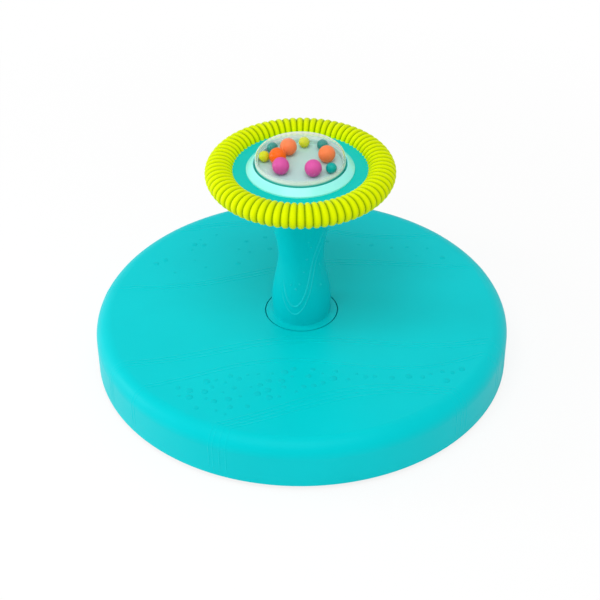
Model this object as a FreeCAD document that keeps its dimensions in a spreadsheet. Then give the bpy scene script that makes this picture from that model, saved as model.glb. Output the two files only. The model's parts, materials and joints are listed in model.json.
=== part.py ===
import FreeCAD, Part
import math
import os
import re
import Sketcher
from FreeCAD import Placement, Rotation, Vector

# A toddler's spinning seat: a round sit-on platform that turns about a fixed post.
# The post stands on a floor base and carries a hand wheel with a clear dome of loose beads.
# Millimetres, Z up. The origin is on the floor, on the spinning axis, and the front is towards -Y.

SIZES = {
    # Seat platform
    "platform_radius": 225.0,
    "platform_gap": 6.0,
    "platform_height": 52.0,
    "platform_wall": 3.2,
    "rim_fillet": 17.0,
    "dish_depth": 1.3,
    "deck_rib_depth": 9.0,
    "deck_rib_thickness": 2.5,
    "deck_rib_count": 12,
    # Retaining collar in the platform's opening
    "collar_radius": 38.8,
    "collar_gap": 1.3,
    "collar_thickness": 3.0,
    "collar_slope": 0.6,
    # Hub bearing
    "hub_radius": 30.0,
    "hub_bore_radius": 24.0,
    "hub_floor_thickness": 10.0,
    "bush_clearance": 0.05,
    "bush_wall": 4.0,
    "bush_flange_width": 3.6,
    "bush_flange_thickness": 1.4,
    "bush_lift": 0.3,
    "bearing_length": 30.0,
    "bearing_tube_wall": 4.0,
    # Rollers and their track
    "track_inset": 22.0,
    "track_width": 15.0,
    "track_thickness": 2.0,
    "track_wall": 2.5,
    "roller_count": 6,
    "roller_radius": 11.0,
    "roller_width": 10.0,
    "roller_gap": 0.3,
    "roller_side_gap": 0.5,
    "roller_floor_gap": 0.8,
    "axle_radius": 2.5,
    "axle_clearance": 0.06,
    "axle_proud": 1.0,
    "ear_radius": 8.0,
    "ear_thickness": 4.0,
    # Floor base and its feet
    "base_radius": 172.0,
    "base_thickness": 4.0,
    "lip_height": 12.0,
    "lip_wall": 3.5,
    "gusset_count": 12,
    "gusset_thickness": 3.0,
    "gusset_hub_height": 11.0,
    "gusset_tip_height": 3.0,
    "gusset_inset": 38.0,
    "foot_count": 6,
    "foot_radius": 10.0,
    "foot_height": 3.0,
    "foot_inset": 17.0,
    "foot_angle": 30.0,
    "foot_plug_radius": 3.5,
    "weld_depth": 1.0,
    # Post: outer radius at each station, with the station's height above the collar
    "post_foot_radius": 31.0,
    "post_swell_radius": 31.9,
    "post_swell_height": 16.0,
    "post_shoulder_radius": 29.5,
    "post_shoulder_height": 41.0,
    "post_waist_radius": 24.4,
    "post_waist_height": 72.0,
    "post_neck_radius": 28.4,
    "post_neck_height": 106.0,
    "post_flare_radius": 33.5,
    "post_flare_height": 134.0,
    "post_top_radius": 40.0,
    "post_length": 157.0,
    "post_bore_radius": 20.0,
    "spigot_clearance": 0.2,
    "spigot_end_gap": 0.5,
    "spigot_plug": 30.0,
    "boss_radius": 4.5,
    "boss_offset": 11.0,
    "boss_length": 18.5,
    "boss_low_height": 43.0,
    "boss_high_height": 123.0,
    # Screws
    "post_screw_radius": 1.6,
    "post_screw_head_radius": 3.0,
    "post_screw_head_height": 2.2,
    "post_screw_seat": 13.0,
    "post_screw_grip": 9.0,
    "base_bolt_radius": 2.5,
    "base_bolt_head_radius": 4.2,
    "base_bolt_head_height": 3.2,
    "base_bolt_recess": 0.8,
    "base_bolt_circle": 14.5,
    "base_bolt_count": 4,
    "base_bolt_grip": 20.0,
    "wheel_screw_radius": 2.0,
    "wheel_screw_head_radius": 4.0,
    "wheel_screw_head_height": 2.4,
    "wheel_screw_circle": 30.0,
    "wheel_screw_count": 3,
    "wheel_screw_grip": 13.0,
    "bowl_screw_radius": 1.6,
    "bowl_screw_head_radius": 3.0,
    "bowl_screw_head_height": 1.8,
    "bowl_screw_head_gap": 0.6,
    "bowl_screw_count": 4,
    "bowl_screw_grip": 3.8,
    "screw_clearance": 0.25,
    # Wheel bowl and plate
    "bowl_depth": 17.4,
    "bowl_wall": 3.0,
    "bowl_foot_radius": 41.0,
    "bowl_mouth_radius": 59.0,
    "bowl_ledge_width": 8.0,
    "sleeve_clearance": 0.2,
    "sleeve_length": 16.0,
    "plate_thickness": 5.0,
    "plate_overhang": 0.8,
    "plate_opening_radius": 40.0,
    "tongue_thickness": 3.0,
    "tongue_reach": 9.7,
    "tongue_clearance": 0.3,
    # Ribbed grip ring
    "grip_inner_gap": 1.1,
    "grip_half_width": 14.7,
    "grip_half_height": 12.2,
    "grip_drop": 0.8,
    "grip_rib_count": 74,
    "grip_rib_depth": 1.8,
    # Bezel, dome and bead tray
    "bezel_radius": 55.8,
    "bezel_height": 7.6,
    "bezel_inner_radius": 48.1,
    "bezel_foot_height": 1.4,
    "bezel_lip": 1.3,
    "bezel_clearance": 0.3,
    "clip_count": 4,
    "clip_width": 9.0,
    "clip_thickness": 1.5,
    "clip_clearance": 0.2,
    "clip_inset": 0.5,
    "clip_barb": 1.0,
    "clip_barb_height": 1.2,
    "dome_radius": 46.5,
    "dome_wall": 1.6,
    "dome_spring_height": 12.3,
    "dome_rise": 16.8,
    "dome_knuckle": 8.2,
    "dome_flange_width": 5.0,
    "tray_gap": 0.3,
    "tray_height": 4.6,
    "tray_wall": 1.5,
    "tray_rim_height": 4.6,
    "tray_rim_wall": 1.0,
    # Loose beads
    "large_bead_radius": 8.8,
    "small_bead_radius": 5.7,
}

# Heights above the floor, worked out from the sizes
RIM_TOP = "(platform_gap + platform_height)"
DECK_TOP = f"({RIM_TOP} - dish_depth)"
DECK_UNDER = f"({DECK_TOP} - platform_wall)"
COLLAR_BOTTOM = f"({DECK_TOP} - collar_thickness)"
POST_SEAT = f"({DECK_TOP} + collar_slope)"
BEARING_TOP = f"({COLLAR_BOTTOM} - bush_lift - bush_flange_thickness)"
BEARING_BOTTOM = f"({BEARING_TOP} - bearing_length)"
BASE_TOP = "(foot_height + base_thickness)"
HUB_FLOOR = "(foot_height + hub_floor_thickness)"
ROLLER_AXIS = f"({BASE_TOP} + roller_floor_gap + roller_radius)"
TRACK_BOTTOM = f"({ROLLER_AXIS} + roller_radius + roller_gap)"
TRACK_TOP = f"({TRACK_BOTTOM} + track_thickness)"
SPIGOT_BOTTOM = f"({HUB_FLOOR} + spigot_end_gap)"
POST_TOP = f"({POST_SEAT} + post_length)"
PLATE_BOTTOM = f"({POST_TOP} + bowl_depth)"
PLATE_TOP = f"({PLATE_BOTTOM} + plate_thickness)"
FLANGE_TOP = f"({POST_TOP} + bowl_wall)"
LEDGE_BOTTOM = f"({PLATE_BOTTOM} - bowl_wall)"
TONGUE_BOTTOM = f"({PLATE_TOP} - tongue_thickness)"
GRIP_HEIGHT = f"({PLATE_TOP} - tongue_thickness / 2 - grip_drop)"
TRAY_TOP = f"({PLATE_TOP} + tray_height)"
BOLT_SEAT = "(foot_height + base_bolt_recess + base_bolt_head_height)"
BOLT_TIP = f"({HUB_FLOOR} + base_bolt_grip)"
RIB_BOTTOM = f"({DECK_UNDER} - deck_rib_depth)"
BOSS_HEIGHTS = (f"({POST_SEAT} + boss_low_height)", f"({POST_SEAT} + boss_high_height)")

# Radii worked out from the sizes
OPENING_RADIUS = "(collar_radius + collar_gap)"
BUSH_INNER = "(hub_radius + bush_clearance)"
BUSH_OUTER = f"({BUSH_INNER} + bush_wall)"
BEARING_TUBE = f"({BUSH_OUTER} + bearing_tube_wall)"
TRACK_RADIUS = "(base_radius - track_inset)"
TRACK_INNER = f"({TRACK_RADIUS} - track_width / 2)"
TRACK_OUTER = f"({TRACK_RADIUS} + track_width / 2)"
FOOT_CIRCLE = "(base_radius - foot_inset)"
GUSSET_REACH = "(base_radius - gusset_inset)"
SKIRT_INNER = "(platform_radius - platform_wall)"
SPIGOT_RADIUS = "(hub_bore_radius - spigot_clearance)"
SLEEVE_RADIUS = "(post_bore_radius - sleeve_clearance)"
DOME_FLANGE_RADIUS = "(dome_radius + dome_flange_width)"
BOWL_SCREW_CIRCLE = "(bowl_mouth_radius + bowl_screw_head_gap + bowl_screw_head_radius)"
LEDGE_RADIUS = "(bowl_mouth_radius + bowl_ledge_width)"
PLATE_RADIUS = f"({LEDGE_RADIUS} + plate_overhang)"
TONGUE_RADIUS = f"({PLATE_RADIUS} + tongue_reach)"
GRIP_RADIUS = f"({PLATE_RADIUS} + grip_inner_gap + grip_half_width)"
YOKE_HALF = "(roller_width / 2 + roller_side_gap)"
BEZEL_REBATE = f"({DOME_FLANGE_RADIUS} + bezel_clearance)"
CLIP_INNER = f"({BEZEL_REBATE} + clip_inset)"
CLIP_OUTER = f"({CLIP_INNER} + clip_thickness)"
FOOT = (f"{FOOT_CIRCLE} * cos(foot_angle)", f"{FOOT_CIRCLE} * sin(foot_angle)")
BOWL_SCREW = (f"{BOWL_SCREW_CIRCLE} * cos(45)", f"{BOWL_SCREW_CIRCLE} * sin(45)")
WHEEL_SCREW = ("0", "wheel_screw_circle")

# Bead name: centre x and y on the tray, and which bead radius it has
BEADS = {
    "bead_teal_left": (-28.5, 24.7, "small_bead_radius"),
    "bead_lime_left": (-36.9, 7.6, "small_bead_radius"),
    "bead_orange_left": (-23.0, 2.7, "large_bead_radius"),
    "bead_coral_back": (-12.1, 21.0, "large_bead_radius"),
    "bead_magenta_left": (-19.8, -16.1, "large_bead_radius"),
    "bead_lime_back": (4.3, 35.4, "small_bead_radius"),
    "bead_teal_back": (23.1, 29.8, "small_bead_radius"),
    "bead_coral_right": (27.1, 6.2, "large_bead_radius"),
    "bead_teal_right": (31.2, -16.1, "small_bead_radius"),
    "bead_magenta_right": (12.9, -20.7, "large_bead_radius"),
}

GRIP_SECTION_SIDES = 12
CUT_MARGIN = 5.0

doc = FreeCAD.newDocument("spinning_seat")
sheet = doc.addObject("Spreadsheet::Sheet", "sizes")
for row, (alias, number) in enumerate(SIZES.items(), start=1):
    sheet.set(f"A{row}", alias)
    sheet.set(f"B{row}", str(number))
    sheet.setAlias(f"B{row}", alias)
doc.recompute()


def bound(text):
    """An expression of plain size names, written so that it reads the sheet."""
    return re.sub(r"\b[a-z]+_[a-z_]+\b", r"sizes.\g<0>", str(text))


def value(text):
    """What an expression of size names comes to."""
    return float(sheet.evalExpression(bound(text)))


def origin_part(body, role):
    return next(item for item in body.Origin.OriginFeatures if item.Role == role)


def new_body(label):
    body = doc.addObject("PartDesign::Body", label)
    body.Label = label
    body.AllowCompound = True
    return body


def new_sketch(body, plane="XZ_Plane", offset="0"):
    """A sketch on one of the body's own origin planes, raised along the plane's normal."""
    sketch = body.newObject("Sketcher::SketchObject", f"{body.Name}_sketch")
    sketch.AttachmentSupport = [(origin_part(body, plane), "")]
    sketch.MapMode = "FlatFace"
    sketch.setExpression("AttachmentOffset.Base.z", bound(offset))
    return sketch


def hold_point(sketch, edge, point, across, up):
    """Ties one point of an edge to its two coordinates in the sheet, or to an axis where one is 0."""
    for kind, text, axis in (("DistanceX", across, -2), ("DistanceY", up, -1)):
        if text == "0":
            sketch.addConstraint(Sketcher.Constraint("PointOnObject", edge, point, axis))
            continue
        number = value(text)
        index = sketch.addConstraint(Sketcher.Constraint(kind, -1, 1, edge, point, number))
        sketch.setExpression(f"Constraints[{index}]", bound(text))


def arc_between(start, end, centre_up):
    """The arc from start to end, turning left, about a centre at that height."""
    middle = (start + end) * 0.5
    chord = end - start
    centre = Vector(middle.x + (middle.y - centre_up) * chord.y / chord.x, centre_up, 0)
    first = math.atan2(start.y - centre.y, start.x - centre.x)
    last = math.atan2(end.y - centre.y, end.x - centre.x)
    circle = Part.Circle(centre, Vector(0, 0, 1), (start - centre).Length)
    return Part.ArcOfCircle(circle, first, last)


def add_outline(sketch, corners):
    """A closed outline. A corner is (across, up), or (across, up, height of centre) before an arc."""
    places = [Vector(value(corner[0]), value(corner[1]), 0) for corner in corners]
    edges = []
    for index, corner in enumerate(corners):
        start = places[index]
        end = places[(index + 1) % len(places)]
        if len(corner) == 3:
            edges.append(sketch.addGeometry(arc_between(start, end, value(corner[2]))))
        else:
            edges.append(sketch.addGeometry(Part.LineSegment(start, end)))
    for index, corner in enumerate(corners):
        following = edges[(index + 1) % len(edges)]
        sketch.addConstraint(Sketcher.Constraint("Coincident", edges[index], 2, following, 1))
        hold_point(sketch, edges[index], 1, corner[0], corner[1])
        if len(corner) == 3:
            number = value(corner[2])
            centre = sketch.addConstraint(Sketcher.Constraint("DistanceY", -1, 1, edges[index], 3, number))
            sketch.setExpression(f"Constraints[{centre}]", bound(corner[2]))


def add_circle(sketch, radius, across="0", up="0"):
    centre = Vector(value(across), value(up), 0)
    edge = sketch.addGeometry(Part.Circle(centre, Vector(0, 0, 1), value(radius)))
    hold_point(sketch, edge, 3, across, up)
    size = sketch.addConstraint(Sketcher.Constraint("Radius", edge, value(radius)))
    sketch.setExpression(f"Constraints[{size}]", bound(radius))


def add_rectangle(sketch, left, right, bottom, top):
    add_outline(sketch, [(left, bottom), (right, bottom), (right, top), (left, top)])


def revolve(body, corners, axis="V_Axis"):
    sketch = new_sketch(body)
    add_outline(sketch, corners)
    feature = body.newObject("PartDesign::Revolution", f"{body.Name}_revolution")
    feature.Profile = sketch
    feature.ReferenceAxis = (sketch, [axis])
    feature.Angle = 360
    return feature


def pad(body, sketch, length, reverse=False, both_ways=False):
    feature = body.newObject("PartDesign::Pad", f"{body.Name}_pad")
    feature.Profile = sketch
    feature.Reversed = reverse
    feature.Midplane = both_ways
    feature.setExpression("Length", bound(length))
    return feature


def pocket(body, sketch, length, reverse=False):
    feature = body.newObject("PartDesign::Pocket", f"{body.Name}_pocket")
    feature.Profile = sketch
    feature.Reversed = reverse
    feature.setExpression("Length", bound(length))
    return feature


def polar(body, features, count):
    """Repeats features evenly round the spinning axis."""
    pattern = body.newObject("PartDesign::PolarPattern", f"{body.Name}_pattern")
    pattern.Originals = features
    pattern.Axis = (origin_part(body, "Z_Axis"), [""])
    pattern.Angle = 360
    pattern.setExpression("Occurrences", bound(count))
    body.Tip = pattern
    return pattern


def round_pad(body, radius, bottom, top, across="0", up="0"):
    sketch = new_sketch(body, "XY_Plane", bottom)
    add_circle(sketch, radius, across, up)
    return pad(body, sketch, f"{top} - {bottom}")


def round_pocket(body, radius, bottom, top, across="0", up="0"):
    sketch = new_sketch(body, "XY_Plane", top)
    add_circle(sketch, radius, across, up)
    return pocket(body, sketch, f"{top} - {bottom}")


def make_platform():
    """The moulded disc that the child sits on: deck, skirt, bearing tube and two track walls."""
    body = new_body("seat_platform")
    fillet_bottom = f"({RIM_TOP} - rim_fillet)"
    deck_edge = "(platform_radius - rim_fillet)"
    bend = "(rim_fillet - platform_wall) * cos(45)"
    rise = f"({DECK_UNDER} - {fillet_bottom}) * sin(45)"
    revolve(body, [
        ("platform_radius", "platform_gap"),
        ("platform_radius", fillet_bottom, fillet_bottom),
        (deck_edge, RIM_TOP),
        (OPENING_RADIUS, DECK_TOP),
        (OPENING_RADIUS, BEARING_TOP),
        (BUSH_OUTER, BEARING_TOP),
        (BUSH_OUTER, BEARING_BOTTOM),
        (BEARING_TUBE, BEARING_BOTTOM),
        (BEARING_TUBE, f"{BEARING_TOP} - platform_wall"),
        (f"{OPENING_RADIUS} + platform_wall", f"{BEARING_TOP} - platform_wall"),
        (f"{OPENING_RADIUS} + platform_wall", DECK_UNDER),
        (TRACK_INNER, DECK_UNDER),
        (TRACK_INNER, TRACK_TOP),
        (f"{TRACK_INNER} + track_wall", TRACK_TOP),
        (f"{TRACK_INNER} + track_wall", DECK_UNDER),
        (f"{TRACK_OUTER} - track_wall", DECK_UNDER),
        (f"{TRACK_OUTER} - track_wall", TRACK_TOP),
        (TRACK_OUTER, TRACK_TOP),
        (TRACK_OUTER, DECK_UNDER),
        (deck_edge, DECK_UNDER),
        (f"{deck_edge} + {bend}", f"{fillet_bottom} + {rise}"),
        (SKIRT_INNER, fillet_bottom),
        (SKIRT_INNER, "platform_gap"),
    ])
    inner_rib = new_sketch(body)
    add_outline(inner_rib, [
        (f"{BEARING_TUBE} - weld_depth", RIB_BOTTOM),
        (f"{TRACK_INNER} + weld_depth", RIB_BOTTOM),
        (f"{TRACK_INNER} + weld_depth", f"{DECK_UNDER} + weld_depth"),
        (f"{OPENING_RADIUS} + platform_wall / 2", f"{DECK_UNDER} + weld_depth"),
        (f"{OPENING_RADIUS} + platform_wall / 2", f"{BEARING_TOP} - weld_depth"),
        (f"{BEARING_TUBE} - weld_depth", f"{BEARING_TOP} - weld_depth"),
    ])
    outer_rib = new_sketch(body)
    add_outline(outer_rib, [
        (f"{TRACK_OUTER} - weld_depth", RIB_BOTTOM),
        (SKIRT_INNER, RIB_BOTTOM),
        (f"{deck_edge} + {bend} + weld_depth / 2", f"{fillet_bottom} + {rise} + weld_depth / 2"),
        (deck_edge, f"{DECK_UNDER} + weld_depth"),
        (f"{TRACK_OUTER} - weld_depth", f"{DECK_UNDER} + weld_depth"),
    ])
    ribs = [pad(body, sketch, "deck_rib_thickness", both_ways=True) for sketch in (inner_rib, outer_rib)]
    polar(body, ribs, "deck_rib_count")
    return body


def make_roller_track():
    """The hard wearing ring under the platform that the rollers run on."""
    body = new_body("roller_track")
    revolve(body, [
        (TRACK_INNER, TRACK_BOTTOM),
        (TRACK_OUTER, TRACK_BOTTOM),
        (TRACK_OUTER, TRACK_TOP),
        (TRACK_INNER, TRACK_TOP),
    ])
    return body


def make_hub_bush():
    """The flanged bearing bush: its bore turns on the hub and its flange is trapped by the collar."""
    body = new_body("hub_bush")
    flange = f"{BUSH_OUTER} + bush_flange_width"
    revolve(body, [
        (BUSH_INNER, BEARING_BOTTOM),
        (BUSH_OUTER, BEARING_BOTTOM),
        (BUSH_OUTER, BEARING_TOP),
        (flange, BEARING_TOP),
        (flange, f"{BEARING_TOP} + bush_flange_thickness"),
        (BUSH_INNER, f"{BEARING_TOP} + bush_flange_thickness"),
    ])
    return body


def make_floor_base():
    """The dish on the floor: hub, lip, radial gussets and six pairs of ears for the rollers."""
    body = new_body("floor_base")
    revolve(body, [
        ("0", "foot_height"),
        ("base_radius", "foot_height"),
        ("base_radius", f"{BASE_TOP} + lip_height"),
        ("base_radius - lip_wall", f"{BASE_TOP} + lip_height"),
        ("base_radius - lip_wall", BASE_TOP),
        ("hub_radius", BASE_TOP),
        ("hub_radius", COLLAR_BOTTOM),
        ("hub_bore_radius", COLLAR_BOTTOM),
        ("hub_bore_radius", HUB_FLOOR),
        ("0", HUB_FLOOR),
    ])
    gusset = new_sketch(body)
    add_outline(gusset, [
        ("hub_radius - weld_depth", f"{BASE_TOP} - weld_depth"),
        (GUSSET_REACH, f"{BASE_TOP} - weld_depth"),
        (GUSSET_REACH, f"{BASE_TOP} + gusset_tip_height"),
        ("hub_radius - weld_depth", f"{BASE_TOP} + gusset_hub_height"),
    ])
    polar(body, [pad(body, gusset, "gusset_thickness", both_ways=True)], "gusset_count")
    ears = []
    for offset in (f"{TRACK_RADIUS} - {YOKE_HALF} - ear_thickness", f"{TRACK_RADIUS} + {YOKE_HALF}"):
        ear = new_sketch(body, "YZ_Plane", offset)
        add_outline(ear, [
            ("-ear_radius", f"{BASE_TOP} - weld_depth"),
            ("ear_radius", f"{BASE_TOP} - weld_depth"),
            ("ear_radius", ROLLER_AXIS, ROLLER_AXIS),
            ("-ear_radius", ROLLER_AXIS),
        ])
        add_circle(ear, "axle_radius", "0", ROLLER_AXIS)
        ears.append(pad(body, ear, "ear_thickness"))
    polar(body, ears, "roller_count")
    bolt = ("base_bolt_circle * cos(45)", "base_bolt_circle * sin(45)")
    clear_hole = "base_bolt_radius + screw_clearance"
    head_hole = "base_bolt_head_radius + screw_clearance"
    polar(body, [
        round_pocket(body, clear_hole, BOLT_SEAT, HUB_FLOOR, *bolt),
        round_pocket(body, head_hole, "foot_height", BOLT_SEAT, *bolt),
    ], "base_bolt_count")
    polar(body, [round_pocket(body, "foot_plug_radius", "foot_height", BASE_TOP, *FOOT)], "foot_count")
    return body


def make_rubber_feet():
    body = new_body("rubber_feet")
    polar(body, [
        round_pad(body, "foot_radius", "0", "foot_height", *FOOT),
        round_pad(body, "foot_plug_radius", "foot_height", BASE_TOP, *FOOT),
    ], "foot_count")
    return body


def make_roller_axles():
    body = new_body("roller_axles")
    reach = f"({YOKE_HALF} + ear_thickness + axle_proud)"
    sketch = new_sketch(body, "YZ_Plane", f"{TRACK_RADIUS} - {reach}")
    add_circle(sketch, "axle_radius", "0", ROLLER_AXIS)
    polar(body, [pad(body, sketch, f"2 * {reach}")], "roller_count")
    return body


def make_roller(number):
    """One roller, turned about its own X axis and then set on the track circle."""
    body = new_body(f"roller_{number + 1}")
    bore = "axle_radius + axle_clearance"
    revolve(body, [
        ("-roller_width / 2", bore),
        ("roller_width / 2", bore),
        ("roller_width / 2", "roller_radius"),
        ("-roller_width / 2", "roller_radius"),
    ], axis="H_Axis")
    turn = f"{number} * 360 / roller_count"
    body.Placement = Placement(Vector(0, 0, 0), Rotation(Vector(0, 0, 1), value(turn)))
    body.setExpression("Placement.Rotation.Angle", bound(turn))
    body.setExpression("Placement.Base.x", bound(f"{TRACK_RADIUS} * cos({turn})"))
    body.setExpression("Placement.Base.y", bound(f"{TRACK_RADIUS} * sin({turn})"))
    body.setExpression("Placement.Base.z", bound(ROLLER_AXIS))
    return body


def make_post_collar():
    """The ring at the post's foot: it sits on the hub and keeps the platform down."""
    body = new_body("post_collar")
    revolve(body, [
        ("hub_bore_radius", COLLAR_BOTTOM),
        ("collar_radius", COLLAR_BOTTOM),
        ("collar_radius", DECK_TOP),
        ("post_foot_radius", POST_SEAT),
        ("hub_bore_radius", POST_SEAT),
    ])
    return body


def make_post_shell(label, front):
    """Half of the post, split on the plane between front and back."""
    body = new_body(label)
    stations = [
        ("post_foot_radius", POST_SEAT),
        ("post_swell_radius", f"{POST_SEAT} + post_swell_height"),
        ("post_shoulder_radius", f"{POST_SEAT} + post_shoulder_height"),
        ("post_waist_radius", f"{POST_SEAT} + post_waist_height"),
        ("post_neck_radius", f"{POST_SEAT} + post_neck_height"),
        ("post_flare_radius", f"{POST_SEAT} + post_flare_height"),
        ("post_top_radius", POST_TOP),
    ]
    sketches = []
    for radius, height in stations:
        sketch = new_sketch(body, "XY_Plane", height)
        add_circle(sketch, radius)
        sketches.append(sketch)
    loft = body.newObject("PartDesign::AdditiveLoft", f"{body.Name}_loft")
    loft.Profile = sketches[0]
    loft.Sections = sketches[1:]
    round_pad(body, SPIGOT_RADIUS, SPIGOT_BOTTOM, POST_SEAT)
    round_pocket(body, "post_bore_radius", f"({SPIGOT_BOTTOM} + spigot_plug)", POST_TOP)
    other_half = new_sketch(body)
    reach = f"(post_top_radius + {CUT_MARGIN})"
    add_rectangle(other_half, f"-{reach}", reach, "foot_height", f"{POST_TOP} + {CUT_MARGIN}")
    pocket(body, other_half, reach, reverse=not front)
    sides = [(across, height) for across in ("-boss_offset", "boss_offset") for height in BOSS_HEIGHTS]
    for across, height in sides:
        boss = new_sketch(body)
        add_circle(boss, "boss_radius", across, height)
        pad(body, boss, "boss_length", reverse=not front)
    for across, height in sides:
        hole = new_sketch(body)
        if front:
            add_circle(hole, "post_screw_radius", across, height)
            pocket(body, hole, "post_screw_grip", reverse=True)
        else:
            add_circle(hole, "post_screw_radius + screw_clearance", across, height)
            pocket(body, hole, "post_screw_seat")
            head = new_sketch(body, "XZ_Plane", "-post_screw_seat")
            add_circle(head, "post_screw_head_radius + screw_clearance", across, height)
            pocket(body, head, "post_top_radius")
    bolts = new_sketch(body, "XY_Plane", BOLT_TIP)
    for step in range(int(value("base_bolt_count"))):
        turn = f"({step} + 0.5) * 360 / base_bolt_count"
        if (value(turn) > 180) == front:
            place = (f"base_bolt_circle * cos({turn})", f"base_bolt_circle * sin({turn})")
            add_circle(bolts, "base_bolt_radius", *place)
    pocket(body, bolts, f"{BOLT_TIP} - {SPIGOT_BOTTOM}")
    screws = new_sketch(body, "XY_Plane", POST_TOP)
    for step in range(int(value("wheel_screw_count"))):
        turn = f"90 + {step} * 360 / wheel_screw_count"
        if (value(turn) > 180) == front:
            place = (f"wheel_screw_circle * cos({turn})", f"wheel_screw_circle * sin({turn})")
            add_circle(screws, "wheel_screw_radius", *place)
    pocket(body, screws, "wheel_screw_grip")
    return body


def make_post_screws():
    """The four screws that hold the rear half of the post to the front half, put in from the back."""
    body = new_body("post_screws")
    shanks = new_sketch(body, "XZ_Plane", "-post_screw_seat")
    heads = new_sketch(body, "XZ_Plane", "-post_screw_seat")
    for across in ("-boss_offset", "boss_offset"):
        for height in BOSS_HEIGHTS:
            add_circle(shanks, "post_screw_radius", across, height)
            add_circle(heads, "post_screw_head_radius", across, height)
    pad(body, shanks, "post_screw_seat + post_screw_grip")
    pad(body, heads, "post_screw_head_height", reverse=True)
    return body


def make_base_bolts():
    """The bolts from under the floor base up into the post's spigot."""
    body = new_body("base_bolts")
    turn = "0.5 * 360 / base_bolt_count"
    place = (f"base_bolt_circle * cos({turn})", f"base_bolt_circle * sin({turn})")
    polar(body, [
        round_pad(body, "base_bolt_radius", BOLT_SEAT, BOLT_TIP, *place),
        round_pad(body, "base_bolt_head_radius", "(foot_height + base_bolt_recess)", BOLT_SEAT, *place),
    ], "base_bolt_count")
    return body


def make_wheel_bowl():
    """The wheel's lower shell: a sleeve in the post's bore, a flange on its top and a sloping bowl."""
    body = new_body("wheel_bowl")
    sleeve_inner = f"{SLEEVE_RADIUS} - bowl_wall"
    revolve(body, [
        (sleeve_inner, f"{POST_TOP} - sleeve_length"),
        (SLEEVE_RADIUS, f"{POST_TOP} - sleeve_length"),
        (SLEEVE_RADIUS, POST_TOP),
        ("bowl_foot_radius", POST_TOP),
        ("bowl_mouth_radius", LEDGE_BOTTOM),
        (LEDGE_RADIUS, LEDGE_BOTTOM),
        (LEDGE_RADIUS, PLATE_BOTTOM),
        ("bowl_mouth_radius - bowl_wall", PLATE_BOTTOM),
        ("bowl_foot_radius - bowl_wall", FLANGE_TOP),
        (sleeve_inner, FLANGE_TOP),
    ])
    wheel_hole = "wheel_screw_radius + screw_clearance"
    polar(body, [
        round_pocket(body, wheel_hole, POST_TOP, FLANGE_TOP, *WHEEL_SCREW),
    ], "wheel_screw_count")
    bowl_hole = "bowl_screw_radius + screw_clearance"
    polar(body, [
        round_pocket(body, bowl_hole, LEDGE_BOTTOM, PLATE_BOTTOM, *BOWL_SCREW),
    ], "bowl_screw_count")
    return body


def make_wheel_screws():
    body = new_body("wheel_screws")
    tip = f"({POST_TOP} - wheel_screw_grip)"
    head_top = f"({FLANGE_TOP} + wheel_screw_head_height)"
    polar(body, [
        round_pad(body, "wheel_screw_radius", tip, FLANGE_TOP, *WHEEL_SCREW),
        round_pad(body, "wheel_screw_head_radius", FLANGE_TOP, head_top, *WHEEL_SCREW),
    ], "wheel_screw_count")
    return body


def make_wheel_plate():
    """The wheel's top plate, whose thin tongue runs in the grip ring's groove all round."""
    body = new_body("wheel_plate")
    revolve(body, [
        ("plate_opening_radius", PLATE_BOTTOM),
        (PLATE_RADIUS, PLATE_BOTTOM),
        (PLATE_RADIUS, TONGUE_BOTTOM),
        (TONGUE_RADIUS, TONGUE_BOTTOM),
        (TONGUE_RADIUS, PLATE_TOP),
        ("plate_opening_radius", PLATE_TOP),
    ])
    hole_top = f"({PLATE_BOTTOM} + bowl_screw_grip)"
    polar(body, [
        round_pocket(body, "bowl_screw_radius", PLATE_BOTTOM, hole_top, *BOWL_SCREW),
    ], "bowl_screw_count")
    slot = new_sketch(body, "XY_Plane", PLATE_TOP)
    add_rectangle(
        slot,
        f"{CLIP_INNER} - clip_clearance",
        f"{CLIP_OUTER} + clip_barb + clip_clearance",
        "-clip_width / 2 - clip_clearance",
        "clip_width / 2 + clip_clearance",
    )
    polar(body, [pocket(body, slot, "plate_thickness")], "clip_count")
    return body


def make_bowl_screws():
    body = new_body("bowl_screws")
    tip = f"({PLATE_BOTTOM} + bowl_screw_grip)"
    head_bottom = f"({LEDGE_BOTTOM} - bowl_screw_head_height)"
    polar(body, [
        round_pad(body, "bowl_screw_radius", LEDGE_BOTTOM, tip, *BOWL_SCREW),
        round_pad(body, "bowl_screw_head_radius", head_bottom, LEDGE_BOTTOM, *BOWL_SCREW),
    ], "bowl_screw_count")
    return body


def grip_section(turn, depth):
    """One outline of the grip, its ribbed outside plus the groove for the plate's tongue."""
    radius = value(GRIP_RADIUS)
    half_width = value("grip_half_width") - depth
    half_height = value("grip_half_height") - depth
    centre_height = value(GRIP_HEIGHT)
    groove_radius = value(f"{TONGUE_RADIUS} + tongue_clearance")
    groove_top = value("grip_drop + tongue_thickness / 2")
    groove_bottom = value("grip_drop - tongue_thickness / 2")
    first = math.asin(groove_top / half_height)
    last = 2 * math.pi + math.asin(groove_bottom / half_height)
    points = [(groove_radius, groove_top)]
    for step in range(GRIP_SECTION_SIDES + 1):
        angle = first + (last - first) * step / GRIP_SECTION_SIDES
        points.append((radius - half_width * math.cos(angle), half_height * math.sin(angle)))
    points.append((groove_radius, groove_bottom))
    points.append(points[0])
    across = Vector(math.cos(turn), math.sin(turn), 0)
    return Part.makePolygon([across * along + Vector(0, 0, centre_height + up) for along, up in points])


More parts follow.
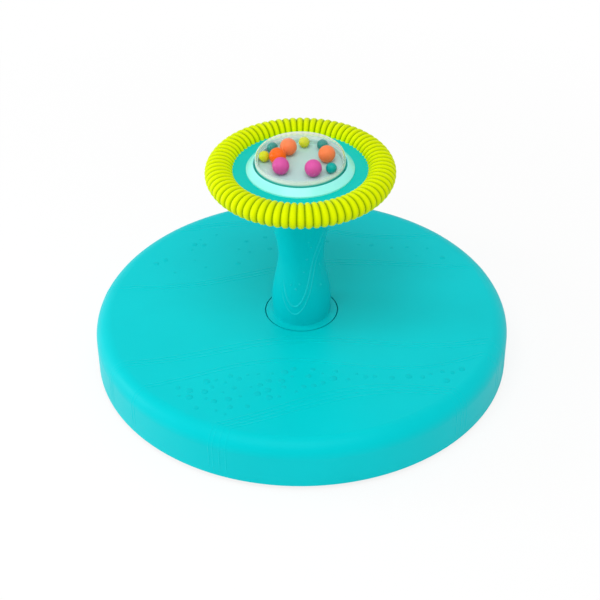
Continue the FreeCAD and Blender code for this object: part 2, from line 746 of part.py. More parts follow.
def make_grip_ring():
    """The ribbed grip: each rib swells from a valley to its crest and back, all the way round."""
    pitch = 2 * math.pi / value("grip_rib_count")
    valley = value("grip_rib_depth")
    sections = [grip_section(-pitch / 2, valley), grip_section(0, 0), grip_section(pitch / 2, valley)]
    rib = Part.makeLoft(sections, False, True)
    faces = []
    for step in range(int(value("grip_rib_count"))):
        turned = rib.copy()
        turned.rotate(Vector(0, 0, 0), Vector(0, 0, 1), math.degrees(pitch) * step)
        faces.extend(turned.Faces)
    shell = Part.makeShell(faces)
    shell.sewShape()
    ring = doc.addObject("Part::Feature", "grip_ring")
    ring.Label = "grip_ring"
    ring.Shape = Part.Solid(shell)
    ring.Placement = Placement(Vector(0, 0, 0), Rotation())
    return ring


def make_bezel_ring():
    """The sloping collar round the dome, held in the plate by barbed clips."""
    body = new_body("bezel_ring")
    revolve(body, [
        (BEZEL_REBATE, PLATE_TOP),
        ("bezel_radius", PLATE_TOP),
        ("bezel_radius", f"{PLATE_TOP} + bezel_foot_height"),
        ("bezel_inner_radius + bezel_lip", f"{PLATE_TOP} + bezel_height - bezel_lip / 4"),
        ("bezel_inner_radius + bezel_lip / 2", f"{PLATE_TOP} + bezel_height"),
        ("bezel_inner_radius", f"{PLATE_TOP} + bezel_height - bezel_lip / 2"),
        ("bezel_inner_radius", f"{PLATE_TOP} + dome_wall"),
        (BEZEL_REBATE, f"{PLATE_TOP} + dome_wall"),
    ])
    clip = new_sketch(body)
    add_outline(clip, [
        (CLIP_INNER, f"{PLATE_TOP} + weld_depth"),
        (CLIP_INNER, f"{PLATE_BOTTOM} - clip_barb_height"),
        (CLIP_OUTER, f"{PLATE_BOTTOM} - clip_barb_height"),
        (f"{CLIP_OUTER} + clip_barb", PLATE_BOTTOM),
        (CLIP_OUTER, PLATE_BOTTOM),
        (CLIP_OUTER, f"{PLATE_TOP} + weld_depth"),
    ])
    polar(body, [pad(body, clip, "clip_width", both_ways=True)], "clip_count")
    return body


def crown(radius, rise, knuckle, spring):
    """Corners of a domed end from its crown down to its wall: a wide arc that runs into a tight one."""
    wide = f"((({radius} - {knuckle})^2 + ({rise})^2 - ({knuckle})^2) / (2 * ({rise} - {knuckle})))"
    wide_centre = f"({spring} + {rise} - {wide})"
    join_radius = f"{wide} * ({radius} - {knuckle}) / ({wide} - {knuckle})"
    join_height = f"{wide_centre} + {wide} * ({wide} - {rise}) / ({wide} - {knuckle})"
    return (radius, spring), (join_radius, join_height), ("0", f"{spring} + {rise}"), wide_centre


def make_dome():
    """The clear cover: a short upright wall, a domed top and a flange under the bezel."""
    body = new_body("dome")
    spring = f"({PLATE_TOP} + dome_spring_height)"
    inner_radius = "(dome_radius - dome_wall)"
    inner_rise = "(dome_rise - dome_wall)"
    inner_knuckle = "(dome_knuckle - dome_wall)"
    foot, join, top, centre = crown("dome_radius", "dome_rise", "dome_knuckle", spring)
    outer = new_sketch(body)
    add_outline(outer, [
        ("0", PLATE_TOP),
        (DOME_FLANGE_RADIUS, PLATE_TOP),
        (DOME_FLANGE_RADIUS, f"{PLATE_TOP} + dome_wall"),
        ("dome_radius", f"{PLATE_TOP} + dome_wall"),
        (*foot, spring),
        (*join, centre),
        top,
    ])
    feature = body.newObject("PartDesign::Revolution", "dome_outside")
    feature.Profile = outer
    feature.ReferenceAxis = (outer, ["V_Axis"])
    feature.Angle = 360
    foot, join, top, centre = crown(inner_radius, inner_rise, inner_knuckle, spring)
    inner = new_sketch(body)
    add_outline(inner, [
        ("0", f"{PLATE_TOP} - {CUT_MARGIN}"),
        (inner_radius, f"{PLATE_TOP} - {CUT_MARGIN}"),
        (*foot, spring),
        (*join, centre),
        top,
    ])
    groove = body.newObject("PartDesign::Groove", "dome_inside")
    groove.Profile = inner
    groove.ReferenceAxis = (inner, ["V_Axis"])
    groove.Angle = 360
    return body


def make_bead_tray():
    """The pale cup that the beads lie in, standing on the plate inside the dome."""
    body = new_body("bead_tray")
    outer = "dome_radius - dome_wall - tray_gap"
    revolve(body, [
        (f"{outer} - tray_wall", PLATE_TOP),
        (outer, PLATE_TOP),
        (outer, f"{TRAY_TOP} + tray_rim_height"),
        (f"{outer} - tray_rim_wall", f"{TRAY_TOP} + tray_rim_height"),
        (f"{outer} - tray_rim_wall", TRAY_TOP),
        ("0", TRAY_TOP),
        ("0", f"{TRAY_TOP} - tray_wall"),
        (f"{outer} - tray_wall", f"{TRAY_TOP} - tray_wall"),
    ])
    return body


def make_bead(name, across, along, radius):
    bead = doc.addObject("Part::Sphere", name)
    bead.Label = name
    bead.Placement = Placement(Vector(across, along, 0), Rotation())
    bead.setExpression("Radius", bound(radius))
    bead.setExpression("Placement.Base.z", bound(f"{TRAY_TOP} + {radius}"))
    return bead


subparts = [
    make_platform(),
    make_roller_track(),
    make_hub_bush(),
    make_floor_base(),
    make_rubber_feet(),
    make_roller_axles(),
    make_post_collar(),
    make_post_shell("post_front_shell", front=True),
    make_post_shell("post_rear_shell", front=False),
    make_post_screws(),
    make_base_bolts(),
    make_wheel_bowl(),
    make_wheel_screws(),
    make_wheel_plate(),
    make_bowl_screws(),
    make_grip_ring(),
    make_bezel_ring(),
    make_dome(),
    make_bead_tray(),
]
subparts += [make_roller(number) for number in range(int(value("roller_count")))]
subparts += [make_bead(name, *place) for name, place in BEADS.items()]
doc.recompute()

for item in doc.Objects:
    if "Invalid" in item.State or "Error" in item.State:
        raise RuntimeError(f"{item.Label} did not compute: {item.State}")
for item in subparts:
    if item.Shape.isNull() or not item.Shape.isValid():
        raise RuntimeError(f"{item.Label} has no valid shape")

os.makedirs("parts", exist_ok=True)
for item in subparts:
    item.Shape.exportStep(os.path.join("parts", f"{item.Label}.step"))
    print(f"{item.Label}: {len(item.Shape.Solids)} solids, {item.Shape.Volume / 1000:.1f} cm3")
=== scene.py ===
"""Dressed scene of a toddler spinning seat: a round platform that turns about a fixed post, with a ribbed
hand wheel and a clear dome of loose beads on top. Metres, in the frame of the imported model."""
import json
import math
import random

import bpy
from mathutils import Matrix, Vector
from mathutils.bvhtree import BVHTree


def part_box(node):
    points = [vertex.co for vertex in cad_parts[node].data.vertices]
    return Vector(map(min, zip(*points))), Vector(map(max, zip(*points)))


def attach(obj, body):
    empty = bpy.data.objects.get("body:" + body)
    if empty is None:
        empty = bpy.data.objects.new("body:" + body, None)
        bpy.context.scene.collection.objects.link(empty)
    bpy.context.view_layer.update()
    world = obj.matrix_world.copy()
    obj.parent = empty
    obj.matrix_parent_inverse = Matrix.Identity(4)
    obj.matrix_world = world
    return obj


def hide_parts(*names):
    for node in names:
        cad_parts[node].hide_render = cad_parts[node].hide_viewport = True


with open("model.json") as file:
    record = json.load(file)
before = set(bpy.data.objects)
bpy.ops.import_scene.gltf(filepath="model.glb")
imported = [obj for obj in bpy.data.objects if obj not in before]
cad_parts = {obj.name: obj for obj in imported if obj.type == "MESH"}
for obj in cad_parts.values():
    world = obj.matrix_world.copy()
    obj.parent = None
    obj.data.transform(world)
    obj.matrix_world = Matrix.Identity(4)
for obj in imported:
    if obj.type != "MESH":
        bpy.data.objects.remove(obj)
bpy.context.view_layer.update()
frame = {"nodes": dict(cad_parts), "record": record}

# Camera at the photograph's viewing angle
LENS_MM = 87.0
SENSOR_MM = 36.0
CAMERA_PLACE = Vector((-0.001584, -1.26797, 1.01893))
CAMERA_PITCH = 0.643
CAMERA_ROLL = -0.009

# Light: two soft boxes over an even white surround; place, size and watts of each, all aimed at the object
AMBIENT = 0.54
SOFT_BOXES = {
    "key": (Vector((-0.25, -1.00, 2.10)), 1.7, 27.5),
    "side": (Vector((-1.45, 0.10, 0.50)), 0.50, 6.0),
}
AIM = Vector((0, 0, 0.08))

# Floor: its half width, the white that it looks beside the object and far away, and where that changes
FLOOR_HALF = 4.0
WHITE_NEAR, WHITE_FAR = 0.85, 1.0
NEAR_END, FAR_START = 0.30, 0.85

# Colours, in linear light
TEAL = (0.0, 0.60, 0.645)
# lighter teal on the post's raised lines and dots: a painted highlight on their ridges
RAISED_TEAL_HIGHLIGHT = (0.01, 0.645, 0.69)
DOT_TEAL = (0.0, 0.565, 0.61)
PLATE_TEAL = (0.0, 0.56, 0.51)
TEAL_SHEEN = (0.3, 1.0, 1.0)
LIME = (0.72, 0.86, 0.0)
# painted shade for the valleys between the grip's ribs
LIME_GROOVE_SHADE = (0.19, 0.34, 0.0)
LIME_SHEEN = (0.9, 1.0, 0.1)
AQUA = (0.32, 0.93, 0.90)
PALE_TRAY = (0.48, 0.71, 0.67)
ACETAL_WHITE = (0.82, 0.82, 0.79)
RUBBER_GREY = (0.05, 0.05, 0.055)
STEEL_DARK, STEEL_LIGHT = (0.50, 0.51, 0.53), (0.68, 0.69, 0.70)
CLEAR_DARK, CLEAR_LIGHT = (0.94, 0.98, 0.97), (0.98, 1.0, 1.0)
WHITE = (1, 1, 1)
FLOOR_GREY = (0.98, 0.98, 0.98)
BEAD_COLOURS = {
    "bead_teal": (0.0, 0.40, 0.36),
    # darker copy of the bead teal: painted shade
    "dark_teal_bead": (0.01, 0.25, 0.215),
    "bead_lime": (0.64, 0.69, 0.0),
    "bead_orange": (0.98, 0.14, 0.0),
    "bead_coral": (0.97, 0.22, 0.06),
    "bead_magenta": (0.72, 0.09, 0.37),
}
SHADED_BEADS = ("bead_teal_left", "bead_teal_back")

# Moulded plastic: its colour's drift, its surface grain in metres and how far its roughness strays
CLOUD_SCALE, CLOUD_DETAIL = 14.0, 3.0
GRAIN_SCALE, GRAIN_DETAIL = 2600.0, 2.0
GRAIN_HEIGHT = 0.00002
FINE_GRAIN_HEIGHT = 0.000005
BEAD_GRAIN_HEIGHT = 0.000004
COLOUR_DRIFT = 0.05
ROUGH_SPREAD = 0.06

# Steel: scale of its turned marks, and its roughness
MARK_SCALE, MARK_DETAIL = 900.0, 4.0
MARK_HEIGHT = 0.00002
STEEL_ROUGH = (0.25, 0.42)

# Platform's rounded rim
PLATFORM_FILLET = 0.017
FILLET_STEPS = 8

# Clear dome: how clear it stays where it is seen aslant, and by height its foot tinted teal as painted shade
# and a pale lip of painted highlight above it
SLANT_START, SLANT_END = 0.64, 0.84
CLEAR_ASLANT = 0.25
DOME_IOR = 1.10
DOME_ROUGH = (0.05, 0.12)
DOME_CLOUD_SCALE, DOME_CLOUD_DETAIL = 30.0, 2.0
DOME_WAVE_HEIGHT = 0.00004
FOOT_START, FOOT_END = 0.2445, 0.2466
# teal band at the dome's foot: painted shade where the dome meets the bezel
FOOT_SHADE_COLOUR = (0.03, 0.52, 0.44)
LIP_START, LIP_END = 0.2470, 0.2510
# the lip lets less through and turns pale: a painted highlight on the dome's low front
LIP_HIGHLIGHT_CLEAR = 0.25

# Ribbed hand grip, with painted shade gathered in the valleys between its ribs
GRIP_HALF_WIDTH = 0.0147
GRIP_HALF_HEIGHT = 0.0122
GRIP_RIBS = 74
GRIP_RIB_DEPTH = 0.0023
GRIP_STEPS_PER_RIB = 12
GRIP_SECTION_STEPS = 40
GROOVE_SHADE_SHARPNESS = 1.5

# Low relief: height over the surface and depth into it. A line has a rounded section on a narrower root, and
# its tips start at a share of its size and grow with each step. A dot has rings, each at a share of its radius
# and of its height.
RELIEF_HEIGHT = 0.00022
RELIEF_SUNK = 0.0004
LINE_HALF_WIDTH = 0.0009
LINE_SECTION = (-1.0, -0.75, -0.4, 0.0, 0.4, 0.75, 1.0)
LINE_STEP = 0.003
ROOT_SHARE = 0.8
TIP_SHARE, TIP_GROWTH = 0.15, 0.25
DOT_SIDES = 20
DOT_ROOT = 0.9
DOT_RINGS = ((1.0, 0.0), (0.86, 0.7), (0.66, 1.0))

# Waves across the platform: level, tilt, swing, wave length, phase, number of lines and their spacing. Each
# further line of a wave swings a little more and lies a little further on.
WAVES = {
    "waves_front": (-0.172, 0.16, 0.014, 0.330, 0.3, 4, 0.0046),
    "waves_middle": (-0.103, 0.10, 0.014, 0.300, 2.2, 2, 0.0040),
    "waves_upper": (-0.071, 0.08, 0.012, 0.340, 1.7, 3, 0.0046),
    "waves_back": (0.066, 0.10, 0.013, 0.360, 1.0, 3, 0.0042),
    "waves_rear": (0.150, -0.05, 0.011, 0.300, 2.5, 3, 0.0040),
}
SWING_GROWTH, PHASE_STEP = 0.06, 0.05
SKIRT_LINE_END = 0.010

# Dots on the platform: the waves that they lie between, how many, and the range of their radius. They keep a
# margin from the waves and the rim, and a space between their centres.
DOT_BANDS = {
    "dots_front": ("waves_front", "waves_middle", 58, 0.0016, 0.0037),
    "dots_back": ("waves_back", "waves_rear", 30, 0.0014, 0.0032),
}
DOT_MARGIN = 0.010
DOT_SPACING = 0.0095
SCATTER_SEED = 7

# Waves on the post: turn of their lowest point from the front, lines by lowest point, rise and half width,
# and the dots near them by turn in degrees, height and radius
POST_LOW_TURN = math.radians(-14)
POST_WAVE_TURNS = (math.radians(-44), math.radians(74))
POST_WAVE_PITCH = math.radians(170)
POST_LINES = ((0.083, 0.100, 0.0011), (0.073, 0.086, 0.0008))
POST_RELIEF_HEIGHT = 0.0005
POST_DOTS = (
    (-24, 0.108, 0.0010), (-12, 0.104, 0.0014), (-4, 0.110, 0.0011), (6, 0.124, 0.0010),
    (14, 0.140, 0.0014), (22, 0.156, 0.0011), (16, 0.164, 0.0009), (46, 0.104, 0.0014),
    (52, 0.128, 0.0014), (46, 0.160, 0.0010), (54, 0.164, 0.0013), (-30, 0.092, 0.0012),
)
POST_LINE_STEPS = 60
POST_RAY_START = 0.06


def new_material(name):
    """A node material with its texture coordinates and shader, ready to be wired."""
    material = bpy.data.materials.new(name)
    material.use_nodes = True
    nodes = material.node_tree.nodes
    shader = nodes["Principled BSDF"]
    place = nodes.new("ShaderNodeTexCoord")
    return material, nodes, material.node_tree.links, shader, place


def noise(nodes, links, place, scale, detail):
    """Soft noise fixed to the object."""
    texture = nodes.new("ShaderNodeTexNoise")
    texture.inputs["Scale"].default_value = scale
    texture.inputs["Detail"].default_value = detail
    links.new(place.outputs["Object"], texture.inputs["Vector"])
    return texture


def ramp(nodes, links, source, start, end, low, high):
    """A value that goes from low to high as its source goes from start to end."""
    mapped = nodes.new("ShaderNodeMapRange")
    mapped.inputs["From Min"].default_value = start
    mapped.inputs["From Max"].default_value = end
    mapped.inputs["To Min"].default_value = low
    mapped.inputs["To Max"].default_value = high
    links.new(source, mapped.inputs["Value"])
    return mapped.outputs["Result"]


def combine(nodes, links, operation, first, second):
    """Two values joined by one of Blender's maths operations."""
    both = nodes.new("ShaderNodeMath")
    both.operation = operation
    links.new(first, both.inputs[0])
    links.new(second, both.inputs[1])
    return both.outputs[0]


def blend_colours(nodes, links, share, first, second):
    """A mix of two plain colours by a socket's value."""
    mix = nodes.new("ShaderNodeMix")
    mix.data_type = "RGBA"
    mix.inputs["A"].default_value = (*first, 1)
    mix.inputs["B"].default_value = (*second, 1)
    links.new(share, mix.inputs["Factor"])
    return mix


def raise_grain(nodes, links, shader, texture, height):
    """Bumps of a height in metres where the texture is light."""
    bump = nodes.new("ShaderNodeBump")
    bump.inputs["Distance"].default_value = height
    links.new(texture.outputs["Fac"], bump.inputs["Height"])
    links.new(bump.outputs["Normal"], shader.inputs["Normal"])


def plastic(name, colour, rough, grain_height=GRAIN_HEIGHT, gloss=0.35, sheen=WHITE, groove_shade_colour=None):
    """Moulded plastic: a faint drift of colour, a fine grain in the surface and an uneven gloss.

    With a colour for shade in grooves, the tint goes over to it by the mesh's own share of that painted shade,
    which darkens the valleys between ribs.
    """
    material, nodes, links, shader, place = new_material(name)
    cloud = noise(nodes, links, place, CLOUD_SCALE, CLOUD_DETAIL)
    dark = [channel * (1 - COLOUR_DRIFT) for channel in colour]
    light = [min(1.0, channel * (1 + COLOUR_DRIFT)) for channel in colour]
    tint = blend_colours(nodes, links, cloud.outputs["Fac"], dark, light)
    if groove_shade_colour:
        groove_shade = nodes.new("ShaderNodeAttribute")
        groove_shade.attribute_name = "groove_shade"
        shade = blend_colours(nodes, links, groove_shade.outputs["Fac"], colour, groove_shade_colour)
        links.new(tint.outputs["Result"], shade.inputs["A"])
        tint = shade
    links.new(tint.outputs["Result"], shader.inputs["Base Color"])
    speck = noise(nodes, links, place, GRAIN_SCALE, GRAIN_DETAIL)
    smooth, matt = rough - ROUGH_SPREAD, rough + ROUGH_SPREAD
    links.new(ramp(nodes, links, speck.outputs["Fac"], 0.0, 1.0, smooth, matt), shader.inputs["Roughness"])
    raise_grain(nodes, links, shader, speck, grain_height)
    shader.inputs["Specular IOR Level"].default_value = gloss
    shader.inputs["Specular Tint"].default_value = (*sheen, 1)
    return material


def clear_plastic(name):
    """Clear styrene with a teal foot of painted shade, a pale lip of painted highlight and a paler, less clear
    look where it is seen aslant.

    Rays from the lamps and from matt surfaces go straight through it, so what lies inside is lit plainly.
    """
    material, nodes, links, shader, place = new_material(name)
    cloud = noise(nodes, links, place, DOME_CLOUD_SCALE, DOME_CLOUD_DETAIL)
    where = nodes.new("ShaderNodeSeparateXYZ")
    links.new(place.outputs["Object"], where.inputs["Vector"])
    above_foot = ramp(nodes, links, where.outputs["Z"], FOOT_START, FOOT_END, 0.0, 1.0)
    # pale lip: painted highlight
    above_lip = ramp(nodes, links, where.outputs["Z"], LIP_START, LIP_END, LIP_HIGHLIGHT_CLEAR, 1.0)
    tint = blend_colours(nodes, links, cloud.outputs["Fac"], CLEAR_DARK, CLEAR_LIGHT)
    # teal at the foot: painted shade
    foot = blend_colours(nodes, links, above_foot, FOOT_SHADE_COLOUR, WHITE)
    links.new(tint.outputs["Result"], foot.inputs["B"])
    links.new(foot.outputs["Result"], shader.inputs["Base Color"])
    links.new(ramp(nodes, links, cloud.outputs["Fac"], 0.0, 1.0, *DOME_ROUGH), shader.inputs["Roughness"])
    raise_grain(nodes, links, shader, cloud, DOME_WAVE_HEIGHT)
    slant = nodes.new("ShaderNodeLayerWeight")
    slant.inputs["Blend"].default_value = 0.5
    facing = ramp(nodes, links, slant.outputs["Facing"], SLANT_START, SLANT_END, 1.0, CLEAR_ASLANT)
    clear = combine(nodes, links, "MULTIPLY", above_foot, above_lip)
    clear = combine(nodes, links, "MULTIPLY", facing, clear)
    links.new(clear, shader.inputs["Transmission Weight"])
    shader.inputs["IOR"].default_value = DOME_IOR
    path = nodes.new("ShaderNodeLightPath")
    shadow, diffuse = path.outputs["Is Shadow Ray"], path.outputs["Is Diffuse Ray"]
    straight = combine(nodes, links, "MAXIMUM", shadow, diffuse)
    through = nodes.new("ShaderNodeBsdfTransparent")
    blend = nodes.new("ShaderNodeMixShader")
    links.new(straight, blend.inputs["Fac"])
    links.new(shader.outputs["BSDF"], blend.inputs[1])
    links.new(through.outputs["BSDF"], blend.inputs[2])
    links.new(blend.outputs["Shader"], nodes["Material Output"].inputs["Surface"])
    return material


def brushed_steel(name):
    """Zinc plated steel with fine turned marks."""
    material, nodes, links, shader, place = new_material(name)
    speck = noise(nodes, links, place, MARK_SCALE, MARK_DETAIL)
    tint = blend_colours(nodes, links, speck.outputs["Fac"], STEEL_DARK, STEEL_LIGHT)
    links.new(tint.outputs["Result"], shader.inputs["Base Color"])
    links.new(ramp(nodes, links, speck.outputs["Fac"], 0.0, 1.0, *STEEL_ROUGH), shader.inputs["Roughness"])
    raise_grain(nodes, links, shader, speck, MARK_HEIGHT)
    shader.inputs["Metallic"].default_value = 1.0
    return material


def add_piece(name, points, faces, body, slot, material):
    """A smooth mesh that rides on a body and takes the material it is given. Its slot is not used."""
    mesh = bpy.data.meshes.new(name)
    mesh.from_pydata(points, [], faces)
    mesh.validate()
    mesh.polygons.foreach_set("use_smooth", [True] * len(mesh.polygons))
    mesh.materials.append(material)
    piece = bpy.data.objects.new(name, mesh)
    bpy.context.scene.collection.objects.link(piece)
    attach(piece, body)
    return piece


def make_camera():
    """Camera in the middle plane, pitched down and rolled a little as in the photograph."""
    data = bpy.data.cameras.new("camera")
    data.lens = LENS_MM
    data.sensor_width = SENSOR_MM
    camera = bpy.data.objects.new("camera", data)
    forward = Vector((0, math.cos(CAMERA_PITCH), -math.sin(CAMERA_PITCH)))
    level = Vector((1, 0, 0))
    rise = level.cross(forward)
    right = math.cos(CAMERA_ROLL) * level + math.sin(CAMERA_ROLL) * rise
    up = -math.sin(CAMERA_ROLL) * level + math.cos(CAMERA_ROLL) * rise
    turn = Matrix((right, up, -forward)).transposed()
    camera.matrix_world = Matrix.Translation(CAMERA_PLACE) @ turn.to_4x4()
    bpy.context.scene.collection.objects.link(camera)
    bpy.context.scene.camera = camera


def make_light():
    """White surround that the camera, gloss and clear parts see as plain white, and the soft boxes."""
    world = bpy.data.worlds.new("surround")
    world.use_nodes = True
    nodes, links = world.node_tree.nodes, world.node_tree.links
    background = nodes["Background"]
    path = nodes.new("ShaderNodeLightPath")
    seen = combine(nodes, links, "MAXIMUM", path.outputs["Is Camera Ray"], path.outputs["Is Glossy Ray"])
    seen = combine(nodes, links, "MAXIMUM", seen, path.outputs["Is Transmission Ray"])
    links.new(ramp(nodes, links, seen, 0.0, 1.0, AMBIENT, 1.0), background.inputs["Strength"])
    background.inputs["Color"].default_value = (*WHITE, 1)
    bpy.context.scene.world = world
    for name, (place, size, watts) in SOFT_BOXES.items():
        light = bpy.data.lights.new(name, "AREA")
        light.energy = watts
        light.size = size
        lamp = bpy.data.objects.new(name, light)
        lamp.location = place
        lamp.rotation_euler = (place - AIM).to_track_quat("Z", "Y").to_euler()
        bpy.context.scene.collection.objects.link(lamp)


def make_floor():
    """Plain pale floor: it keeps the object's soft shadow and looks white further away."""
    corners = [(x * FLOOR_HALF, y * FLOOR_HALF, 0) for x, y in ((-1, -1), (1, -1), (1, 1), (-1, 1))]
    mesh = bpy.data.meshes.new("floor")
    mesh.from_pydata(corners, [], [(0, 1, 2, 3)])
    material = bpy.data.materials.new("floor")
    material.use_nodes = True
    nodes, links = material.node_tree.nodes, material.node_tree.links
    nodes.clear()
    out = nodes.new("ShaderNodeOutputMaterial")
    matt = nodes.new("ShaderNodeBsdfDiffuse")
    matt.inputs["Color"].default_value = (*FLOOR_GREY, 1)
    white = nodes.new("ShaderNodeEmission")
    white.inputs["Color"].default_value = (*WHITE, 1)
    blend = nodes.new("ShaderNodeMixShader")
    path = nodes.new("ShaderNodeLightPath")
    place = nodes.new("ShaderNodeTexCoord")
    distance = nodes.new("ShaderNodeVectorMath")
    distance.operation = "LENGTH"
    links.new(place.outputs["Object"], distance.inputs[0])
    white_share = ramp(nodes, links, distance.outputs["Value"], NEAR_END, FAR_START, WHITE_NEAR, WHITE_FAR)
    white_share = combine(nodes, links, "MULTIPLY", path.outputs["Is Camera Ray"], white_share)
    links.new(white_share, blend.inputs["Fac"])
    links.new(matt.outputs[0], blend.inputs[1])
    links.new(white.outputs[0], blend.inputs[2])
    links.new(blend.outputs[0], out.inputs["Surface"])
    mesh.materials.append(material)
    floor = bpy.data.objects.new("floor", mesh)
    bpy.context.scene.collection.objects.link(floor)


def make_grip(material):
    """Closed ring of rounded ribs: an oval section that swells and dips once for each rib, with painted shade
    in the valleys.
    """
    low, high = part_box("grip_ring")
    centre_height = (low[2] + high[2]) / 2
    centre_radius = high[0] - GRIP_HALF_WIDTH
    half_pitch = math.pi * high[0] / GRIP_RIBS
    rib_radius = (half_pitch ** 2 + GRIP_RIB_DEPTH ** 2) / (2 * GRIP_RIB_DEPTH)
    around = GRIP_RIBS * GRIP_STEPS_PER_RIB
    points, groove_shades, faces = [], [], []
    for i in range(around):
        rib, step = divmod(i, GRIP_STEPS_PER_RIB)
        across = -math.cos(math.pi * step / GRIP_STEPS_PER_RIB)
        turn = 2 * math.pi * (rib + 0.5 + across / 2) / GRIP_RIBS
        dip = rib_radius - math.sqrt(rib_radius ** 2 - (across * half_pitch) ** 2)
        for k in range(GRIP_SECTION_STEPS):
            lean = 2 * math.pi * k / GRIP_SECTION_STEPS
            radius = centre_radius + (GRIP_HALF_WIDTH - dip) * math.cos(lean)
            height = centre_height + (GRIP_HALF_HEIGHT - dip) * math.sin(lean)
            points.append((radius * math.cos(turn), radius * math.sin(turn), height))
            # share of painted shade, strongest at the bottom of each valley between ribs
            groove_shades.append((dip / GRIP_RIB_DEPTH) ** GROOVE_SHADE_SHARPNESS)
            here, there = i * GRIP_SECTION_STEPS, (i + 1) % around * GRIP_SECTION_STEPS
            after = (k + 1) % GRIP_SECTION_STEPS
            faces.append((here + k, there + k, there + after, here + after))
    grip = add_piece("ribbed_grip", points, faces, "base", "lime_grip", material)
    attribute = grip.data.attributes.new("groove_shade", "FLOAT", "POINT")
    attribute.data.foreach_set("value", groove_shades)
    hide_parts("grip_ring")


def surface_of(*names):
    """A search tree over CAD nodes at rest, for setting relief on them."""
    points, faces = [], []
    for name in names:
        node = frame["nodes"][name]
        start = len(points)
        points += [node.matrix_world @ vertex.co for vertex in node.data.vertices]
        faces += [[start + corner for corner in face.vertices] for face in node.data.polygons]
    return BVHTree.FromPolygons(points, faces)


def ridge(points, normals, half_width=LINE_HALF_WIDTH, height=RELIEF_HEIGHT):
    """Corners and faces of a low rounded ridge that follows points on a surface."""
    corners, faces = [], []
    section = [(side * half_width, height * (1 - side * side)) for side in LINE_SECTION]
    section += [(half_width * ROOT_SHARE, -RELIEF_SUNK), (-half_width * ROOT_SHARE, -RELIEF_SUNK)]
    count = len(section)
    last = len(points) - 1
    for i, (point, normal) in enumerate(zip(points, normals)):
        along = (points[min(i + 1, last)] - points[max(i - 1, 0)]).normalized()
        sideways = normal.cross(along).normalized()
        fade = min(1.0, TIP_SHARE + TIP_GROWTH * min(i, last - i))
        for offset, rise in section:
            lift = rise * fade if rise > 0 else rise
            corners.append(point + sideways * offset * fade + normal * lift)
        if i < last:
            for k in range(count):
                after = (k + 1) % count
                base = i * count
                faces.append((base + k, base + after, base + count + after, base + count + k))
    faces.append(tuple(reversed(range(count))))
    faces.append(tuple(last * count + k for k in range(count)))
    return corners, faces


def stud(point, normal, radius, height=RELIEF_HEIGHT):
    """Corners and faces of a low round dot with a soft edge."""
    rings = [(DOT_ROOT, -RELIEF_SUNK)] + [(share, height * rise) for share, rise in DOT_RINGS]
    aside = normal.orthogonal().normalized()
    across = normal.cross(aside)
    corners, faces = [], []
    for share, rise in rings:
        for k in range(DOT_SIDES):
            turn = 2 * math.pi * k / DOT_SIDES
            out = aside * math.cos(turn) + across * math.sin(turn)
            corners.append(point + out * radius * share + normal * rise)
    for ring in range(len(rings) - 1):
        for k in range(DOT_SIDES):
            after = (k + 1) % DOT_SIDES
            base = ring * DOT_SIDES
            faces.append((base + k, base + after, base + DOT_SIDES + after, base + DOT_SIDES + k))
    faces.append(tuple(reversed(range(DOT_SIDES))))
    faces.append(tuple((len(rings) - 1) * DOT_SIDES + k for k in range(DOT_SIDES)))
    return corners, faces


def merge(parts):
    """One list of corners and one of faces from several."""
    points, faces = [], []
    for corners, polygons in parts:
        start = len(points)
        points += corners
        faces += [tuple(start + corner for corner in polygon) for polygon in polygons]
    return points, faces


def wave_height(wave, across, line=0):
    """How far back one line of a wave lies at a place across the platform."""
    level, tilt, swing, length, phase, _, spacing = WAVES[wave]
    turn = 2 * math.pi * across / length + phase + PHASE_STEP * line
    swell = swing * (1 + SWING_GROWTH * line) * math.sin(turn)
    return level + line * spacing + tilt * across + swell


def platform_path(wave, line):
    """Guide points of one line: across the top from rim to rim, and straight down the skirt at both ends."""
    _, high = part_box("seat_platform")
    radius, top = high[0], high[2]
    flat = radius - PLATFORM_FILLET
    path = []
    steps = int(2 * radius / LINE_STEP)
    for i in range(steps + 1):
        x = -radius + 2 * radius * i / steps
        y = wave_height(wave, x, line)
        if math.hypot(x, y) < flat:
            path.append(Vector((x, y, top)))
    ends = []
    for edge in (path[0], path[-1]):
        turn = math.atan2(edge.y, edge.x)
        outward = Vector((math.cos(turn), math.sin(turn), 0))
        drop = []
        for k in range(1, FILLET_STEPS + 1):
            lean = math.pi / 2 * k / FILLET_STEPS
            height = top - PLATFORM_FILLET * (1 - math.cos(lean))
            drop.append(outward * (flat + PLATFORM_FILLET * math.sin(lean)) + Vector((0, 0, height)))
        height = drop[-1].z - LINE_STEP
        while height > SKIRT_LINE_END:
            drop.append(outward * radius + Vector((0, 0, height)))
            height -= LINE_STEP
        ends.append(drop)
    return list(reversed(ends[0])) + path + ends[1]


def set_on(surface, guide):
    """The guide's nearest points on a surface, and the surface's directions there."""
    points, normals = [], []
    for spot in guide:
        place, normal, _, _ = surface.find_nearest(spot)
        points.append(place)
        normals.append(normal)
    return points, normals


def make_waves(material):
    """Lines in low relief across the platform, one piece for each wave."""
    surface = surface_of("seat_platform")
    for name, (_, _, _, _, _, lines, _) in WAVES.items():
        parts = [ridge(*set_on(surface, platform_path(name, line))) for line in range(lines)]
        add_piece(name, *merge(parts), "platform", "teal_plastic", material)


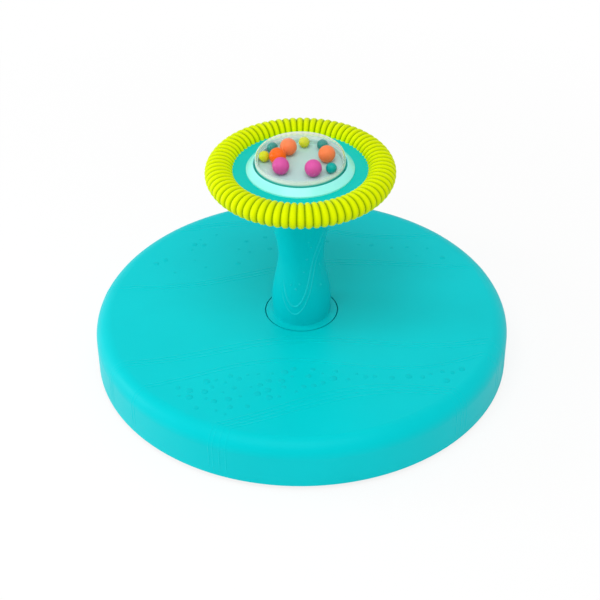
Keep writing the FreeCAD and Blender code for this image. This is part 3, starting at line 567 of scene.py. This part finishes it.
def make_dots(material):
    """Dots of several sizes, scattered evenly between two waves."""
    surface = surface_of("seat_platform")
    _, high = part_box("seat_platform")
    flat = high[0] - PLATFORM_FILLET
    scatter = random.Random(SCATTER_SEED)
    for name, (front, back, count, small, large) in DOT_BANDS.items():
        last_line = WAVES[front][5] - 1
        spots, parts = [], []
        while len(spots) < count:
            x = scatter.uniform(-flat, flat)
            nearest = wave_height(front, x, last_line) + DOT_MARGIN
            farthest = wave_height(back, x) - DOT_MARGIN
            y = scatter.uniform(nearest, farthest)
            spot = Vector((x, y, high[2]))
            too_near = any((spot - other).length < DOT_SPACING for other in spots)
            if math.hypot(x, y) > flat - DOT_MARGIN or too_near:
                continue
            spots.append(spot)
            place, normal, _, _ = surface.find_nearest(spot)
            parts.append(stud(place, normal, scatter.uniform(small, large)))
        add_piece(name, *merge(parts), "platform", "teal_plastic", material)


def on_post(surface, turn, height):
    """The place on the post's outside at a turn from the front and a height, and its direction there."""
    outward = Vector((math.sin(turn), -math.cos(turn), 0))
    place, normal, _, _ = surface.ray_cast(outward * POST_RAY_START + Vector((0, 0, height)), -outward)
    return place, normal


def make_post_relief(material):
    """Two curved lines that swing up the front of the post, and small dots round them, in a lighter teal that
    paints a highlight on them.
    """
    surface = surface_of("post_front_shell")
    parts = []
    first, last = POST_WAVE_TURNS
    for low, rise, half_width in POST_LINES:
        spots = []
        for k in range(POST_LINE_STEPS + 1):
            turn = first + (last - first) * k / POST_LINE_STEPS
            swing = math.cos(2 * math.pi * (turn - POST_LOW_TURN) / POST_WAVE_PITCH)
            spots.append(on_post(surface, turn, low + rise * (1 - swing) / 2))
        places, directions = zip(*spots)
        parts.append(ridge(places, directions, half_width, POST_RELIEF_HEIGHT))
    for turn, height, radius in POST_DOTS:
        parts.append(stud(*on_post(surface, math.radians(turn), height), radius, POST_RELIEF_HEIGHT))
    add_piece("post_relief", *merge(parts), "base", "teal_plastic", material)


def node_materials(materials):
    """Gives each CAD node the finish of its material slot."""
    for subpart in frame["record"]["subparts"]:
        node = frame["nodes"][subpart["node"]]
        for holder in node.material_slots:
            holder.material = materials[subpart["material_slot"]]


make_camera()
make_light()
make_floor()

finishes = {
    "teal_plastic": plastic("teal_plastic", TEAL, 0.42, gloss=0.12, sheen=TEAL_SHEEN),
    "lime_grip": plastic("lime_grip", LIME, 0.5, gloss=0.12, sheen=LIME_SHEEN, groove_shade_colour=LIME_GROOVE_SHADE),
    "aqua_plastic": plastic("aqua_plastic", AQUA, 0.2, FINE_GRAIN_HEIGHT, gloss=0.4),
    "clear_plastic": clear_plastic("clear_plastic"),
    "pale_tray": plastic("pale_tray", PALE_TRAY, 0.35),
    "white_acetal": plastic("white_acetal", ACETAL_WHITE, 0.35),
    "grey_rubber": plastic("grey_rubber", RUBBER_GREY, 0.75, gloss=0.3),
    "steel": brushed_steel("steel"),
}
for colour_name, colour in BEAD_COLOURS.items():
    finishes[colour_name] = plastic(colour_name, colour, 0.35, BEAD_GRAIN_HEIGHT, gloss=0.12)
dot_plastic = plastic("dot_plastic", DOT_TEAL, 0.6, gloss=0.08)
# post relief in a lighter teal: painted highlight
raised_highlight_plastic = plastic("raised_highlight_plastic", RAISED_TEAL_HIGHLIGHT, 0.38, gloss=0.18, sheen=TEAL_SHEEN)
plate_plastic = plastic("plate_plastic", PLATE_TEAL, 0.42, gloss=0.12, sheen=TEAL_SHEEN)
node_materials(finishes)
frame["nodes"]["wheel_plate"].material_slots[0].material = plate_plastic
# painted shade: darker teal on the beads at the left and back
for bead in SHADED_BEADS:
    frame["nodes"][bead].material_slots[0].material = finishes["dark_teal_bead"]
make_grip(finishes["lime_grip"])
make_waves(finishes["teal_plastic"])
make_dots(dot_plastic)
make_post_relief(raised_highlight_plastic)

bpy.context.scene.view_settings.view_transform = "Standard"
